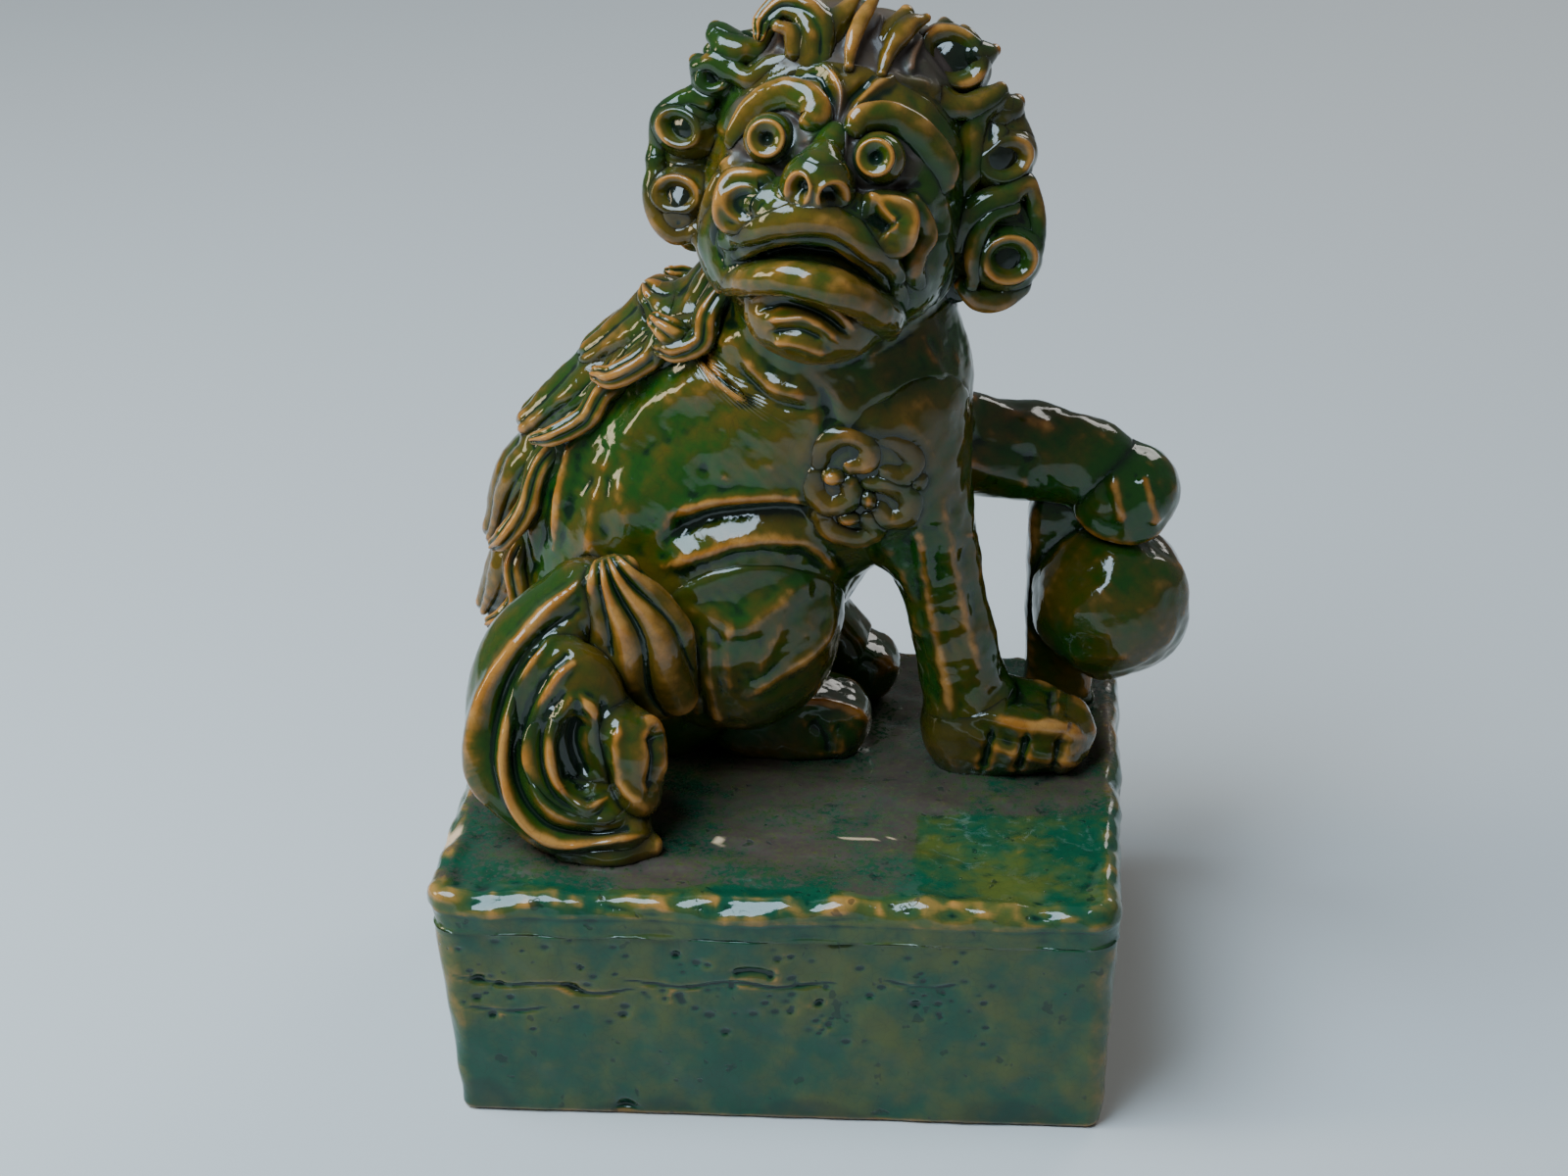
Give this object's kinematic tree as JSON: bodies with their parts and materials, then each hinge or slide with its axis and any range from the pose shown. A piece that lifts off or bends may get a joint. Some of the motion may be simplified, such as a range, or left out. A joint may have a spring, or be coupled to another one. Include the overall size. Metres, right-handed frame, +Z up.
{
  "type": "foo dog statue",
  "caption": "Green-glazed ceramic guardian lion seated on a hollow slab plinth, head turned to its side, one forepaw on a ball, curled mane and a swirled tail.",
  "frame": {"origin": "middle of the statue's footprint, at the foot of the plinth", "axes": "+X the way the lion's body looks, -Y the side that its face turns to, +Z up"},
  "size_m": [0.1656, 0.116, 0.24],
  "materials": {
    "body_glaze": "glossy lead-type green glaze, pooling dark in hollows, amber on ridges, finely crazed",
    "mane_glaze": "glossy green glaze breaking to amber on the edges of the curls",
    "face_glaze": "glossy olive and amber glaze, dark green in the creases",
    "plinth_glaze": "glossy mottled blue-green glaze with pits and bare amber edges, dusty on top"
  },
  "bodies": {
    "root": {"back_curl_1": "mane_glaze", "back_curl_10": "mane_glaze", "back_curl_11": "mane_glaze", "back_curl_12": "mane_glaze", "back_curl_2": "mane_glaze", "back_curl_3": "mane_glaze", "back_curl_4": "mane_glaze", "back_curl_5": "mane_glaze", "back_curl_6": "mane_glaze", "back_curl_7": "mane_glaze", "back_curl_8": "mane_glaze", "back_curl_9": "mane_glaze", "ball": "body_glaze", "ball_post": "body_glaze", "crown_flame_1": "mane_glaze", "crown_flame_2": "mane_glaze", "crown_flame_3": "mane_glaze", "elbow_tuft": "mane_glaze", "front_curl_1": "mane_glaze", "front_curl_2": "mane_glaze", "front_curl_3": "mane_glaze", "front_curl_4": "mane_glaze", "front_curl_5": "mane_glaze", "front_curl_6": "mane_glaze", "head_shell": "body_glaze", "left_brow": "face_glaze", "left_cheek_fold": "face_glaze", "left_eyeball": "face_glaze", "left_foreleg": "body_glaze", "left_forepaw": "body_glaze", "left_hind_foot": "body_glaze", "left_thigh": "body_glaze", "left_whisker_pad": "face_glaze", "lower_jaw": "face_glaze", "muzzle": "face_glaze", "nose": "face_glaze", "plinth_back_slab": "plinth_glaze", "plinth_front_slab": "plinth_glaze", "plinth_left_slab": "plinth_glaze", "plinth_right_slab": "plinth_glaze", "plinth_top_slab": "plinth_glaze", "right_brow": "face_glaze", "right_cheek_fold": "face_glaze", "right_eyeball": "face_glaze", "right_foreleg": "body_glaze", "right_forepaw": "body_glaze", "right_hind_foot": "body_glaze", "right_thigh": "body_glaze", "right_whisker_pad": "face_glaze", "spine_lock_1": "mane_glaze", "spine_lock_2": "mane_glaze", "spine_lock_3": "mane_glaze", "spine_lock_4": "mane_glaze", "spine_lock_5": "mane_glaze", "spine_lock_6": "mane_glaze", "tail_crescent": "mane_glaze", "tail_curl": "mane_glaze", "tail_lobe": "mane_glaze", "tail_swirl": "mane_glaze", "torso_shell": "body_glaze"}
  },
  "joints": []
}
